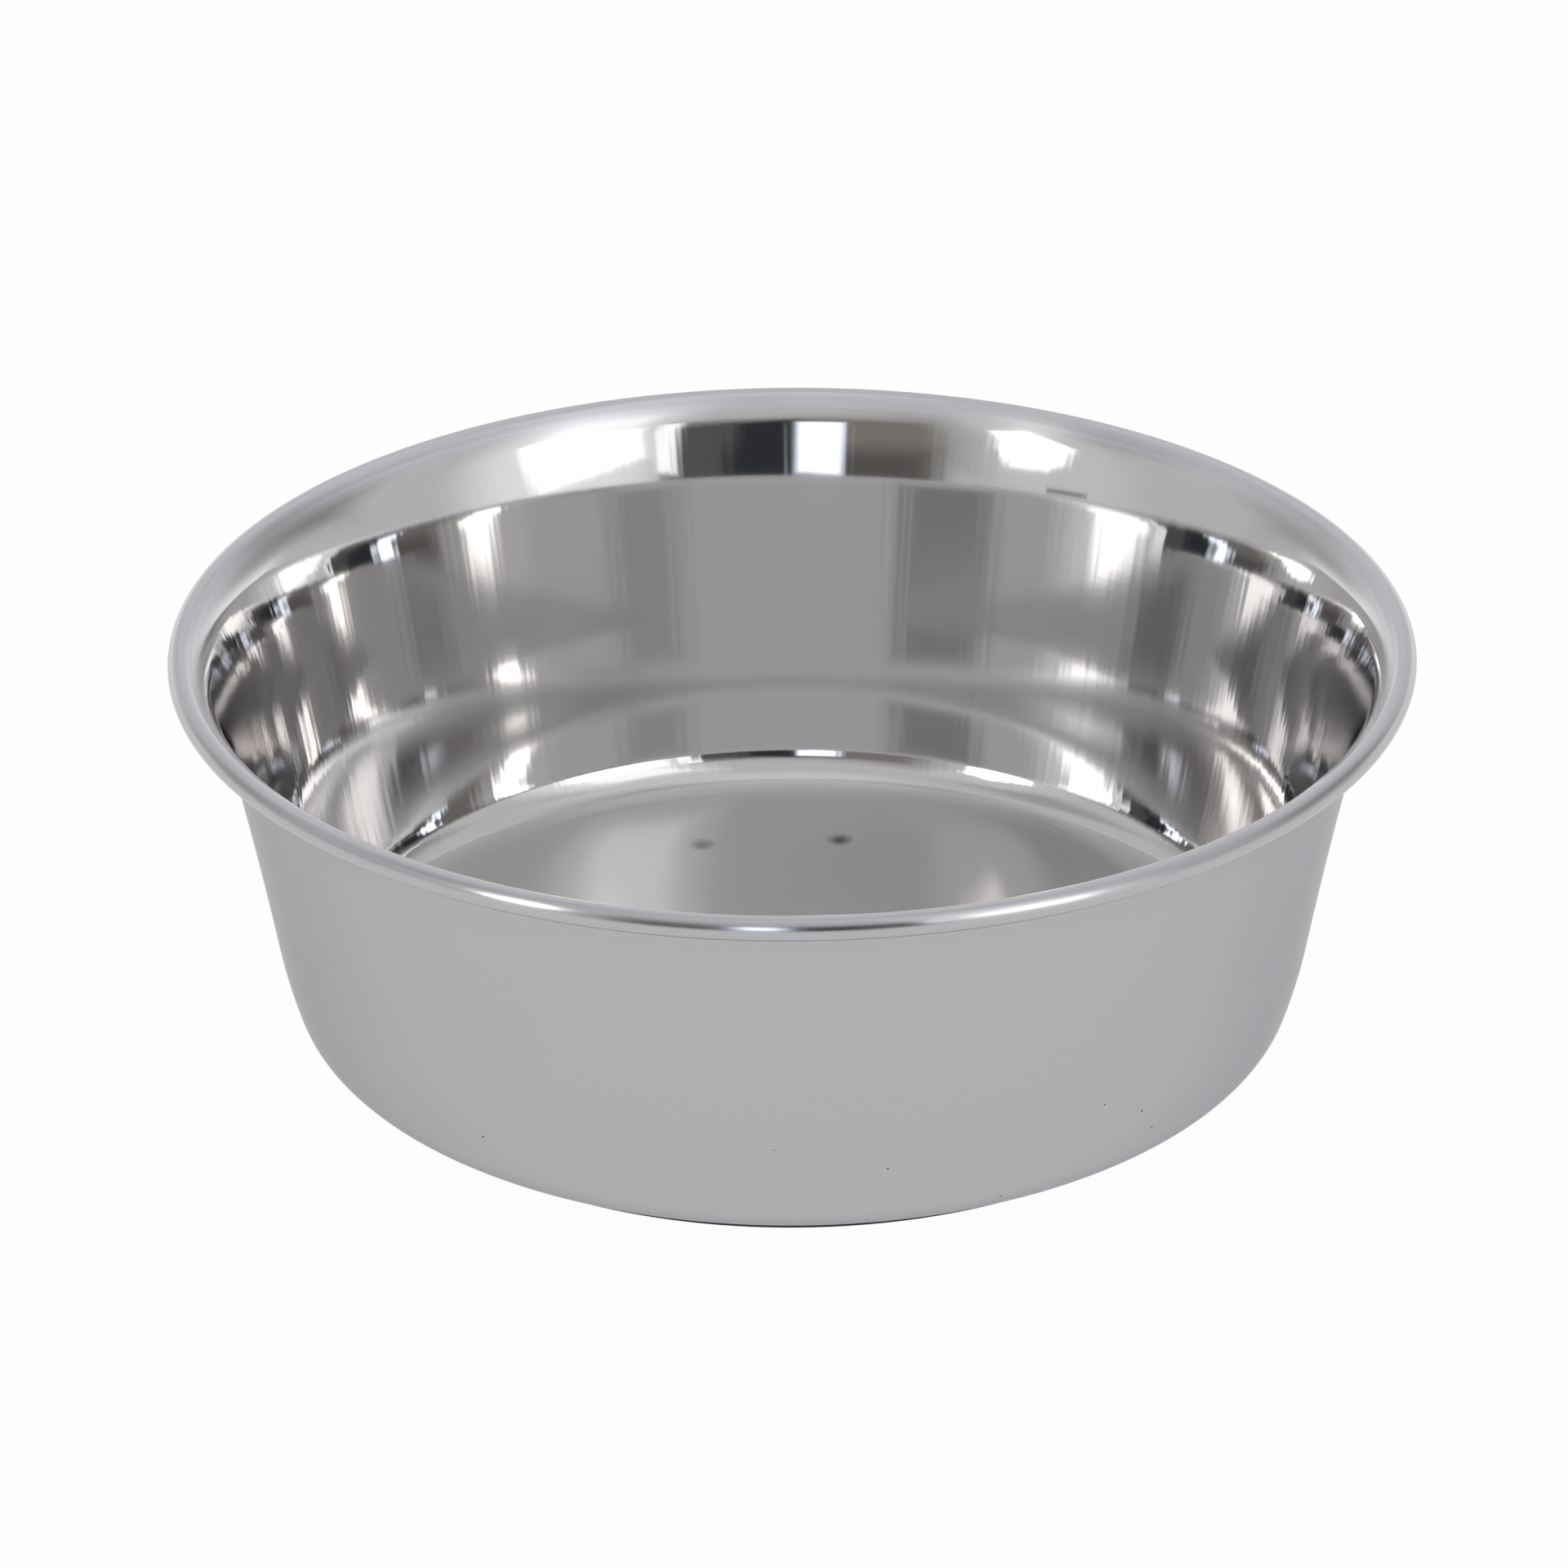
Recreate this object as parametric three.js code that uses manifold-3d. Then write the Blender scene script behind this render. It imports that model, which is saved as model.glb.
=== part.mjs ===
// Stainless steel dog bowl: a drawn shell with a flared lip and a rolled bead, standing on a rubber ring.
// A pressed steel ring, spot-welded under the floor, clamps the rubber ring's tongue.
// Units are millimetres, +Z is up, and the origin is on the table under the middle of the bowl.
import * as THREE from 'three';
import { mergeVertices } from 'three/addons/utils/BufferGeometryUtils.js';
import Module from 'manifold-3d';

const wasm = await Module();
wasm.setup();

// Bowl shell
const RIM_RADIUS = 108; // out to the bead's outer edge
const SHELL_HEIGHT = 71; // from the underside of the floor to the top of the bead
const SHEET = 0.9; // thickness of the drawn sheet
const CORNER_RADIUS = 8; // inside, between the floor and the foot of the wall
const FOOT_TURN = 8; // degrees that the wide bend at the wall's foot turns in before the corner
const FOOT_RADIUS = 85; // inside of that bend
const WALL_BOW_RADIUS = 870; // outside of the wall, which hollows in slightly from foot to top
const WALL_TAPER = 12.4; // degrees that the wall leans out from upright at its top
const SWEEP_TURN = 12.6; // degrees that the wide bend above the wall leans it out further
const SWEEP_RADIUS = 47; // outside of that bend
const FLARE_RADIUS = 11.6; // underside of the bend from there to the bead
const LIP_SLOPE = 36; // degrees that the lip rises where it runs into the bead
const BEAD_BORE_RADIUS = 1.2; // hollow inside the curled edge
const CURL_GAP = 0.6; // from the curl's free edge to the lip above it

// Rubber ring
const PAD_HEIGHT = 3; // lifts the floor off the table
const PAD_WIDTH = 6.5; // the thick part that the bowl stands on
const PAD_INSET = 1.5; // from the edge of the flat floor in to the rubber
const PAD_CHAMFER = 0.8; // on the two edges that meet the table
const TONGUE_WIDTH = 4; // the thin part that is clamped
const TONGUE_THICKNESS = 1.2;

// Clamp ring
const RING_SHEET = 0.8; // thickness of the pressed ring
const WELD_FLANGE_WIDTH = 12; // the flat that lies against the floor
const CLEARANCE = 0.3; // between neighbours that don't bear on each other

// Spot welds
const WELD_PAIRS = 3;
const PAIR_ANGLE = 24.4; // degrees between the two welds of a pair
const PAIR_DIRECTION = 94; // degrees from +X to the middle of the first pair
const WELD_RADIUS = 2; // of the nugget
const WELD_PENETRATION = 0.45; // share of each sheet's thickness that the nugget reaches into
const MARK_RADIUS = 2.25; // of the electrode's round mark on the inner floor
const MARK_DEPTH = 0.2; // share of the sheet's thickness that the electrode pressed in

// Facets
const TURN_STEPS = 60; // around the bowl
const SMALL_TURN_STEPS = 16; // around a weld or its mark
const CORNER_STEPS = 5;
const FOOT_STEPS = 2;
const WALL_STEPS = 2;
const SWEEP_STEPS = 2;
const FLARE_STEPS = 4;
const BEAD_STEPS = 12;
const MARK_STEPS = 3;

const degrees = THREE.MathUtils.degToRad;

// A step of the given length, at an angle in radians counted from the outward direction
function polar(angle, length) {
  return new THREE.Vector2(Math.cos(angle), Math.sin(angle)).multiplyScalar(length);
}

function arcPoints({ centre, radius, from, to, steps }) {
  return Array.from({ length: steps + 1 }, (_, step) => (
    polar(THREE.MathUtils.lerp(from, to, step / steps), radius).add(centre)
  ));
}

// A closed body of revolution about +Z, from a profile of (radius, height) points that runs
// clockwise, and that starts and ends on the axis or closes on itself
function turned(profile, steps = TURN_STEPS) {
  const lathe = new THREE.LatheGeometry(profile.toReversed(), steps);
  lathe.rotateX(Math.PI / 2);
  lathe.deleteAttribute('normal');
  lathe.deleteAttribute('uv');
  const welded = mergeVertices(lathe);
  const corners = welded.index.array;
  const kept = [];
  for (let i = 0; i < corners.length; i += 3) {
    const [a, b, c] = corners.slice(i, i + 3);
    if (a !== b && b !== c && c !== a) kept.push(a, b, c);
  }
  welded.setIndex(kept);
  return welded;
}

function toSolid(geometry) {
  return new wasm.Manifold(new wasm.Mesh({
    numProp: 3,
    vertProperties: Float32Array.from(geometry.attributes.position.array),
    triVerts: Uint32Array.from(geometry.index.array),
  }));
}

function toGeometry(solid) {
  const mesh = solid.getMesh();
  const geometry = new THREE.BufferGeometry();
  geometry.setAttribute('position', new THREE.BufferAttribute(mesh.vertProperties, 3));
  geometry.setIndex(new THREE.BufferAttribute(mesh.triVerts, 1));
  geometry.computeVertexNormals();
  return geometry;
}

function cut(geometry, tools) {
  return toGeometry(tools.reduce((solid, tool) => solid.subtract(toSolid(tool)), toSolid(geometry)));
}

// Heights
const floorBottom = PAD_HEIGHT;
const floorTop = floorBottom + SHEET;
const floorMiddle = floorBottom + SHEET / 2;
const rimTop = floorBottom + SHELL_HEIGHT;

// The sheet's middle line is a chain of tangent arcs, worked out from the bead down to the flat floor.
// An arc runs from its lower to its upper end, and grows is 1 where the inner face has the larger radius.
const lipSlope = degrees(LIP_SLOPE);
const wallSlope = degrees(90 - WALL_TAPER);
const sweepSlope = wallSlope - degrees(SWEEP_TURN);

// The centre of an arc that is tangent to the lower end of the arc above it
function centreBelow(above, radius) {
  return polar(above.from, above.radius - radius).add(above.centre);
}

function bendBelow(above, { radius, slope, steps }) {
  const centre = centreBelow(above, radius);
  return { centre, radius, grows: 1, from: Math.PI / 2 + slope, to: above.from, steps };
}

const beadOuterRadius = BEAD_BORE_RADIUS + SHEET;
const beadMiddleRadius = BEAD_BORE_RADIUS + SHEET / 2;
const curlTurn = 1.5 * Math.PI + Math.asin((BEAD_BORE_RADIUS - CURL_GAP) / beadMiddleRadius);
const bead = {
  centre: new THREE.Vector2(RIM_RADIUS - beadOuterRadius, rimTop - beadOuterRadius),
  radius: beadMiddleRadius,
  grows: 1,
  from: Math.PI / 2 + lipSlope,
  to: Math.PI / 2 + lipSlope - curlTurn,
  steps: BEAD_STEPS,
};
const flare = bendBelow(bead, { radius: FLARE_RADIUS + SHEET / 2, slope: sweepSlope, steps: FLARE_STEPS });
const sweep = bendBelow(flare, { radius: SWEEP_RADIUS + SHEET / 2, slope: wallSlope, steps: SWEEP_STEPS });

// The wall runs down to the slope from which the foot and the corner take it on to the floor. That slope
// follows from the corner's height: the centres of wall and foot lie on one line through the wall's lower
// end, and those of foot and corner on another through the foot's lower end.
const footTurn = degrees(FOOT_TURN);
const wallMiddleRadius = WALL_BOW_RADIUS + SHEET / 2;
const footMiddleRadius = FOOT_RADIUS + SHEET / 2;
const cornerMiddleRadius = CORNER_RADIUS + SHEET / 2;
const wallToFoot = wallMiddleRadius + footMiddleRadius;
const footToCorner = footMiddleRadius - cornerMiddleRadius;
const cornerHeight = floorMiddle + cornerMiddleRadius;
const climb = cornerHeight - centreBelow(sweep, wallMiddleRadius).y;
const along = wallToFoot - footToCorner * Math.cos(footTurn);
const across = footToCorner * Math.sin(footTurn);
const footSlope = Math.acos(climb / Math.hypot(along, across)) - Math.atan2(across, along);
const wall = bendBelow(sweep, { radius: wallMiddleRadius, slope: footSlope, steps: WALL_STEPS });
const foot = {
  centre: polar(wall.from, wallToFoot).add(wall.centre),
  radius: footMiddleRadius,
  grows: -1,
  from: footSlope - footTurn - Math.PI / 2,
  to: footSlope - Math.PI / 2,
  steps: FOOT_STEPS,
};
const corner = {
  centre: polar(foot.from, footToCorner).add(foot.centre),
  radius: cornerMiddleRadius,
  grows: -1,
  from: -Math.PI / 2,
  to: foot.from,
  steps: CORNER_STEPS,
};
const flatFloorRadius = corner.centre.x;

// One face of the sheet: every arc shifted by the same offset from the middle line, joined end to end
function sheetFace(offset) {
  return [corner, foot, wall, sweep, flare, bead].flatMap((bend, index) => {
    const points = arcPoints({ ...bend, radius: bend.radius + bend.grows * offset });
    return index ? points.slice(1) : points;
  });
}

// Rubber and clamp ring, laid out inwards from the edge of the flat floor
const padOuter = flatFloorRadius - PAD_INSET;
const padInner = padOuter - PAD_WIDTH;
const tongueInner = padInner - TONGUE_WIDTH;
const tongueBottom = floorBottom - TONGUE_THICKNESS;
const stepOuter = tongueInner - CLEARANCE;
const stepInner = stepOuter - RING_SHEET;
const clampOuter = padInner - CLEARANCE;
const flangeInner = stepInner - WELD_FLANGE_WIDTH;
const flangeBottom = floorBottom - RING_SHEET;
const weldCircle = (flangeInner + stepInner) / 2;
const weldTop = floorBottom + SHEET * WELD_PENETRATION;
const weldBottom = floorBottom - RING_SHEET * WELD_PENETRATION;

// Centres of the welds on the underside of the floor
const weldCentres = Array.from({ length: 2 * WELD_PAIRS }, (_, index) => {
  const pair = Math.floor(index / 2);
  const side = index % 2 ? 0.5 : -0.5;
  const angle = degrees(PAIR_DIRECTION + (360 / WELD_PAIRS) * pair + PAIR_ANGLE * side);
  return new THREE.Vector2(Math.cos(angle), Math.sin(angle)).multiplyScalar(weldCircle);
});

// A short upright disc at each weld
function weldDiscs(radius) {
  return weldCentres.map(({ x, y }) => {
    const profile = [[0, weldTop], [radius, weldTop], [radius, weldBottom], [0, weldBottom]];
    const disc = turned(profile.map(([r, z]) => new THREE.Vector2(r, z)), SMALL_TURN_STEPS);
    return disc.translate(x, y, 0);
  });
}

// The round hollow that an electrode leaves in the inner floor: a cap of a large ball
function weldMarks() {
  const depth = SHEET * MARK_DEPTH;
  const ball = (MARK_RADIUS ** 2 + depth ** 2) / (2 * depth);
  const half = Math.asin(MARK_RADIUS / ball);
  const cap = arcPoints({
    centre: new THREE.Vector2(0, floorTop - depth + ball),
    radius: ball,
    from: half - Math.PI / 2,
    to: -Math.PI / 2,
    steps: MARK_STEPS,
  });
  const above = floorTop + SHEET;
  const profile = [new THREE.Vector2(0, above), new THREE.Vector2(MARK_RADIUS, above), ...cap];
  return weldCentres.map(({ x, y }) => turned(profile, SMALL_TURN_STEPS).translate(x, y, 0));
}

function bowlShell() {
  const inside = sheetFace(SHEET / 2);
  const outside = sheetFace(-SHEET / 2).reverse();
  const profile = [new THREE.Vector2(0, floorTop), ...inside, ...outside, new THREE.Vector2(0, floorBottom)];
  return cut(turned(profile), [...weldMarks(), ...weldDiscs(WELD_RADIUS + CLEARANCE)]);
}

function clampRing() {
  const profile = [
    [flangeInner, floorBottom], [stepOuter, floorBottom], [stepOuter, tongueBottom],
    [clampOuter, tongueBottom], [clampOuter, tongueBottom - RING_SHEET],
    [stepInner, tongueBottom - RING_SHEET], [stepInner, flangeBottom], [flangeInner, flangeBottom],
    [flangeInner, floorBottom],
  ];
  const ring = turned(profile.map(([r, z]) => new THREE.Vector2(r, z)));
  return cut(ring, weldDiscs(WELD_RADIUS + CLEARANCE));
}

function nonSlipRing() {
  const profile = [
    [tongueInner, floorBottom], [padOuter, floorBottom], [padOuter, PAD_CHAMFER], [padOuter - PAD_CHAMFER, 0],
    [padInner + PAD_CHAMFER, 0], [padInner, PAD_CHAMFER], [padInner, tongueBottom],
    [tongueInner, tongueBottom], [tongueInner, floorBottom],
  ];
  return turned(profile.map(([r, z]) => new THREE.Vector2(r, z)));
}

function named(name, geometry, finish) {
  const mesh = new THREE.Mesh(geometry, new THREE.MeshStandardMaterial(finish));
  mesh.name = name;
  return mesh;
}

const polishedSteel = { color: 0xb4b4b6, metalness: 1, roughness: 0.12 };
const pressedSteel = { color: 0xa9a9aa, metalness: 1, roughness: 0.35 };
const weldedSteel = { color: 0x7f7d7b, metalness: 1, roughness: 0.5 };
const blackRubber = { color: 0x1d1d1e, metalness: 0, roughness: 0.85 };

const bowl = new THREE.Group();
bowl.add(
  named('bowl_shell', bowlShell(), polishedSteel),
  named('clamp_ring', clampRing(), pressedSteel),
  named('non_slip_ring', nonSlipRing(), blackRubber),
  ...weldDiscs(WELD_RADIUS).map((disc, index) => named(`spot_weld_${index + 1}`, disc, weldedSteel)),
);

export default bowl;
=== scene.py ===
# %% [markdown]
# A stainless steel dog bowl, dressed around its CAD frame
#
# The bowl is one sheet of stainless steel, drawn to a flat floor and a tapered wall, flared at the mouth and
# rolled into a bead. A pressed ring is spot-welded under the floor, and it clamps a rubber ring that the bowl
# stands on. The CAD frame holds where each piece is. This script gives each piece its fine surface and its
# finish, and then makes the studio, the floor and the camera.

import bpy
import numpy as np
from mathutils import Matrix, Vector


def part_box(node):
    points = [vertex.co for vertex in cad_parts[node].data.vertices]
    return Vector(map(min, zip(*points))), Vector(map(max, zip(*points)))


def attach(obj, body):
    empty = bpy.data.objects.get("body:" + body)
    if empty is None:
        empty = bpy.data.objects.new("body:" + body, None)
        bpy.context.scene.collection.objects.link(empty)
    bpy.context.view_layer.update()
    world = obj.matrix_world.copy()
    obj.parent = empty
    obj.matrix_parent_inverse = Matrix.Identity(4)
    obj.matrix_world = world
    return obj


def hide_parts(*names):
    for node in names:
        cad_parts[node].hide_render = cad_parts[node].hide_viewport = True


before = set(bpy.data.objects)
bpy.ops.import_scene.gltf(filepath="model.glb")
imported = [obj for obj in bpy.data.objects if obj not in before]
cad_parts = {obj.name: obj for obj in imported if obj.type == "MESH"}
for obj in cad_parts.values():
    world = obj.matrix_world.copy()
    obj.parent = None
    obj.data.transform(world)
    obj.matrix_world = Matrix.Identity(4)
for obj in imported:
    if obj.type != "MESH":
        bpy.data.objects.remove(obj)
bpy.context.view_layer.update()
MM = 0.001
scene = bpy.context.scene
scene.view_settings.view_transform = "Standard"

# %% [markdown]
# Sizes
#
# What the frame can say is read from it: how wide and how high the shell is, and where the welds are. The
# bends of the sheet have the same sizes as in the CAD model, so the fine surface lies on the faceted one.

# %% Sizes of the sheet
shell_low, shell_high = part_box("bowl_shell")
RIM_RADIUS = shell_high.x
RIM_TOP = shell_high.z
FLOOR_BOTTOM = shell_low.z
SHEET = 0.9 * MM
CORNER_RADIUS = 8 * MM
FOOT_TURN = np.radians(8)
FOOT_RADIUS = 85 * MM
WALL_BOW_RADIUS = 870 * MM
WALL_TAPER = np.radians(12.4)
SWEEP_TURN = np.radians(12.6)
SWEEP_RADIUS = 47 * MM
FLARE_RADIUS = 11.6 * MM
LIP_SLOPE = np.radians(36)
BEAD_BORE = 1.2 * MM
CURL_GAP = 0.6 * MM
FLOOR_TOP = FLOOR_BOTTOM + SHEET
FLOOR_MIDDLE = FLOOR_BOTTOM + SHEET / 2

weld_names = sorted(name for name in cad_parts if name.startswith("spot_weld"))
weld_boxes = [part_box(name) for name in weld_names]
weld_centres = np.array([(low + high) / 2 for low, high in weld_boxes])
weld_low, weld_high = weld_boxes[0]
WELD_RADIUS = (weld_high.x - weld_low.x) / 2
WELD_CIRCLE = np.hypot(weld_centres[:, 0], weld_centres[:, 1]).mean()
MARK_RADIUS = 2.25 * MM
MARK_DEPTH = 0.18 * MM
print(f"rim {2 * RIM_RADIUS / MM:.1f} mm across, welds on a circle of {2 * WELD_CIRCLE / MM:.1f} mm")

# %% [markdown]
# A turned surface
#
# Every piece of this bowl is round, so one helper makes them all: a profile of rings, each with a radius
# and a height, carried around the axis. The screw modifier could spin a curve too, but a grid of our own
# lets the height change with the angle, which the weld marks need, and lets each point carry values that
# the materials read.


# %% Helpers: carry a profile around the axis, and an arc of a profile
def turned(name, radius, height, angles, poles=None, values=None):
    """Point (i, j) is at radius[i] along angle[j], at height[i, j], and each four neighbours make a face.

    A profile without poles closes on itself. With poles, two heights on the axis, it starts and ends there.
    The profile runs clockwise, seen with the radius to the right and the height up, so faces point outwards.
    """
    rings, steps = height.shape
    x, y = np.outer(radius, np.cos(angles)), np.outer(radius, np.sin(angles))
    points = np.stack([x, y, height], axis=-1).reshape(-1, 3)
    index = np.arange(rings * steps).reshape(rings, steps)
    here = index if poles is None else index[:-1]
    there = np.roll(index, -1, axis=0) if poles is None else index[1:]
    faces = np.stack([here, there, np.roll(there, -1, axis=1), np.roll(here, -1, axis=1)], axis=-1)
    faces = faces.reshape(-1, 4).tolist()
    if poles is not None:
        ends = np.array([[0, 0, poles[0]], [0, 0, poles[1]]])
        first, last = len(points), len(points) + 1
        points = np.concatenate([points, ends])
        fan_in = np.column_stack([np.full(steps, first), index[0], np.roll(index[0], -1)])
        fan_out = np.column_stack([index[-1], np.full(steps, last), np.roll(index[-1], -1)])
        faces += fan_in.tolist() + fan_out.tolist()
    mesh = bpy.data.meshes.new(name)
    mesh.from_pydata(points.tolist(), [], faces)
    mesh.shade_smooth()
    for label, grid in (values or {}).items():
        flat = np.broadcast_to(grid, (rings, steps)).ravel()
        if poles is not None:
            flat = np.concatenate([flat, [flat[0], flat[-1]]])
        layer = mesh.attributes.new(label, "FLOAT", "POINT")
        layer.data.foreach_set("value", flat.astype(np.float32))
    mesh.update()
    piece = bpy.data.objects.new(name, mesh)
    scene.collection.objects.link(piece)
    print(f"{name}: {rings} rings of {steps} points, {len(mesh.polygons)} faces")
    return piece


def arc(centre, radius, ends, shares):
    """Points of a circle, centre + radius (cos, sin), at shares of the way between two angles."""
    angle = ends[0] + (ends[1] - ends[0]) * shares
    return np.column_stack([centre[0] + radius * np.cos(angle), centre[1] + radius * np.sin(angle)])


# %% [markdown]
# The bowl's shell
#
# On the real bowl this is a steel blank pressed over a punch, then flared and curled at the edge. The
# sheet's middle line is a chain of arcs, each tangent to the next, so the two faces of the sheet are the
# same chain moved half a thickness either way: arcs only change radius. A screw modifier on a curve could
# turn it too, but here every ring is placed on purpose: close together in the bends, where the mirror shows
# every facet, and far apart on the floor.

# %% The sheet's middle line
flare_ends = np.pi - WALL_TAPER - SWEEP_TURN, np.pi / 2 + LIP_SLOPE
sweep_ends = np.pi - WALL_TAPER, flare_ends[0]
bead_outer, bead_middle = BEAD_BORE + SHEET, BEAD_BORE + SHEET / 2
flare_middle, sweep_middle = FLARE_RADIUS + SHEET / 2, SWEEP_RADIUS + SHEET / 2
wall_middle, foot_middle = WALL_BOW_RADIUS + SHEET / 2, FOOT_RADIUS + SHEET / 2
corner_middle = CORNER_RADIUS + SHEET / 2


def polar(angle, length):
    """A step of that length, at an angle counted from the outward direction."""
    return length * np.array([np.cos(angle), np.sin(angle)])


bead_centre = np.array([RIM_RADIUS - bead_outer, RIM_TOP - bead_outer])
flare_centre = bead_centre + polar(flare_ends[1], bead_middle - flare_middle)
sweep_centre = flare_centre + polar(sweep_ends[1], flare_middle - sweep_middle)
wall_centre = sweep_centre + polar(sweep_ends[0], sweep_middle - wall_middle)

wall_to_foot, foot_to_corner = wall_middle + foot_middle, foot_middle - corner_middle
corner_height = FLOOR_MIDDLE + corner_middle
climb = corner_height - wall_centre[1]
reach, aside = wall_to_foot - foot_to_corner * np.cos(FOOT_TURN), foot_to_corner * np.sin(FOOT_TURN)
foot_slope = np.arccos(climb / np.hypot(reach, aside)) - np.arctan2(aside, reach)
wall_ends = np.pi / 2 + foot_slope, sweep_ends[0]
foot_ends = foot_slope - FOOT_TURN - np.pi / 2, foot_slope - np.pi / 2
corner_ends = -np.pi / 2, foot_ends[0]
foot_centre = wall_centre + polar(wall_ends[0], wall_to_foot)
corner_centre = foot_centre + polar(foot_ends[0], foot_to_corner)
flat_radius = corner_centre[0]
curl_turn = 1.5 * np.pi + np.arcsin((BEAD_BORE - CURL_GAP) / bead_middle)
bead_ends = flare_ends[1], flare_ends[1] - curl_turn
foot_lean = 90 - np.degrees(foot_slope)
print(f"flat floor {2 * flat_radius / MM:.1f} mm across, wall leaning {foot_lean:.1f} degrees at its foot")

# %% The two faces of the sheet
FIRST_RING, LAST_RING_IN = 6 * MM, 0.3 * MM
WELD_BAND = 3.4 * MM
INNER_FLOOR_RINGS, WELD_BAND_RINGS, OUTER_FLOOR_RINGS = 5, 18, 3
CORNER_RINGS, FOOT_RINGS, WALL_RINGS, SWEEP_RINGS, FLARE_RINGS, BEAD_RINGS = 16, 7, 6, 9, 16, 30
EDGE_SHARE = 0.02
weld_rings = WELD_CIRCLE + np.linspace(-WELD_BAND, WELD_BAND, WELD_BAND_RINGS)
floor_rings = np.concatenate([
    np.linspace(FIRST_RING, weld_rings[0], INNER_FLOOR_RINGS + 1)[:-1],
    weld_rings,
    np.linspace(weld_rings[-1], flat_radius, OUTER_FLOOR_RINGS + 2)[1:-1],
    [flat_radius - LAST_RING_IN],
])


def evenly(count):
    """Shares from just after 0 up to 1."""
    return np.linspace(0, 1, count + 1)[1:]


wall_shares = np.concatenate([[EDGE_SHARE], evenly(WALL_RINGS)[:-1], [1 - EDGE_SHARE, 1]])
sheet_bends = [
    # centre, radius, growth of the radius towards the inner face, angles of the ends, shares of the way
    (corner_centre, corner_middle, -1, corner_ends, np.linspace(0, 1, CORNER_RINGS)),
    (foot_centre, foot_middle, -1, foot_ends, evenly(FOOT_RINGS)),
    (wall_centre, wall_middle, 1, wall_ends, wall_shares),
    (sweep_centre, sweep_middle, 1, sweep_ends, evenly(SWEEP_RINGS)),
    (flare_centre, flare_middle, 1, flare_ends, evenly(FLARE_RINGS)),
    (bead_centre, bead_middle, 1, bead_ends, evenly(BEAD_RINGS)),
]


def sheet_face(offset):
    """The face at a distance from the middle line, as (radius, height): the flat floor, then every bend."""
    floor = np.column_stack([floor_rings, np.full(len(floor_rings), FLOOR_MIDDLE + offset)])
    bends = [arc(centre, radius + grows * offset, ends, shares)
             for centre, radius, grows, ends, shares in sheet_bends]
    return np.concatenate([floor, *bends])


inner_face = sheet_face(SHEET / 2)
outer_face = sheet_face(-SHEET / 2)[::-1]
profile = np.concatenate([inner_face, outer_face])
path = np.concatenate([[0], np.cumsum(np.hypot(*np.diff(profile, axis=0).T))])
print(f"sheet: {len(profile)} rings, {path[-1] / MM:.0f} mm along both faces")


# %% [markdown]
# Weld marks
#
# Two electrodes pinch the floor and the ring together. The one inside the bowl leaves a shallow round
# hollow with a dull, straw-grey tint, and the one below leaves the same tint under the ring. The hollow is
# a cap of a large ball, so its depth falls with the square of the distance from the middle. Extra angles
# beside each weld make the grid fine enough to show it.


# %% Weld marks and pockets on the floor
ROUND_STEPS = 360
WELD_STEPS = 15
WELD_SPREAD = np.radians(3.2)
WELD_CLEARANCE = 1.05
POCKET_RADIUS = WELD_RADIUS + 0.3 * MM
POCKET_WALL = 0.5 * MM
MARK_HAZE = 1.25
MARK_STRENGTHS = 0.95, 0.6
SAME_PLACE = 0.001 * MM
weld_angles = np.arctan2(weld_centres[:, 1], weld_centres[:, 0])
near_welds = (weld_angles[:, None] + np.linspace(-WELD_SPREAD, WELD_SPREAD, WELD_STEPS)).ravel()
even_angles = np.linspace(0, 2 * np.pi, ROUND_STEPS, endpoint=False)
turn_to_weld = np.abs(np.angle(np.exp(1j * (even_angles[:, None] - weld_angles)))).min(axis=1)
clear_angles = even_angles[turn_to_weld > WELD_SPREAD * WELD_CLEARANCE]
angles = np.sort(np.mod(np.concatenate([clear_angles, near_welds]), 2 * np.pi))


def from_nearest_weld(radius, angles):
    """Distance in plan from each grid point to the nearest weld's middle, and that weld's number."""
    x, y = np.outer(radius, np.cos(angles)), np.outer(radius, np.sin(angles))
    apart = np.hypot(x[..., None] - weld_centres[:, 0], y[..., None] - weld_centres[:, 1])
    return apart.min(axis=-1), apart.argmin(axis=-1)


def pocket(away):
    """1 up to the pocket's radius from a weld's middle, and then down to 0 over the pocket's wall."""
    return np.clip((POCKET_RADIUS + POCKET_WALL - away) / POCKET_WALL, 0, 1)


def haze(away):
    """Strength of an electrode's mark: full in the middle of a weld and gone at the edge of its haze."""
    return np.clip(MARK_HAZE - away / MARK_RADIUS, 0, 1)


away, nearest = from_nearest_weld(profile[:, 0], angles)
on_inner = (np.arange(len(profile)) < len(inner_face))[:, None]
on_floor = (profile[:, 0] <= flat_radius + SAME_PLACE)[:, None]
cap = np.clip(1 - (away / MARK_RADIUS) ** 2, 0, 1)
pocket_depth = weld_high.z - FLOOR_BOTTOM
height = profile[:, 1][:, None] - np.where(on_floor & on_inner, MARK_DEPTH * cap, 0)
height = height + np.where(on_floor & ~on_inner, pocket_depth * pocket(away), 0)
mark = np.where(on_floor & on_inner, np.take(MARK_STRENGTHS, nearest % 2) * haze(away), 0)

# %% Make the shell
SATIN_EDGE = 5 * MM
LIP_START, LIP_FADE = 0.3, 0.4
FLUTE_FADE = 0.3
BEAD_FADE = np.radians(70)
bead_angle = np.arctan2(profile[:, 1] - bead_centre[1], profile[:, 0] - bead_centre[0])
on_bead = np.arange(len(profile)) >= len(inner_face) - BEAD_RINGS
past_top = np.clip((np.pi / 2 - bead_angle) / BEAD_FADE, 0, 1)
outside = np.where(on_inner, np.where(on_bead, past_top, 0)[:, None], 1.0)


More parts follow.
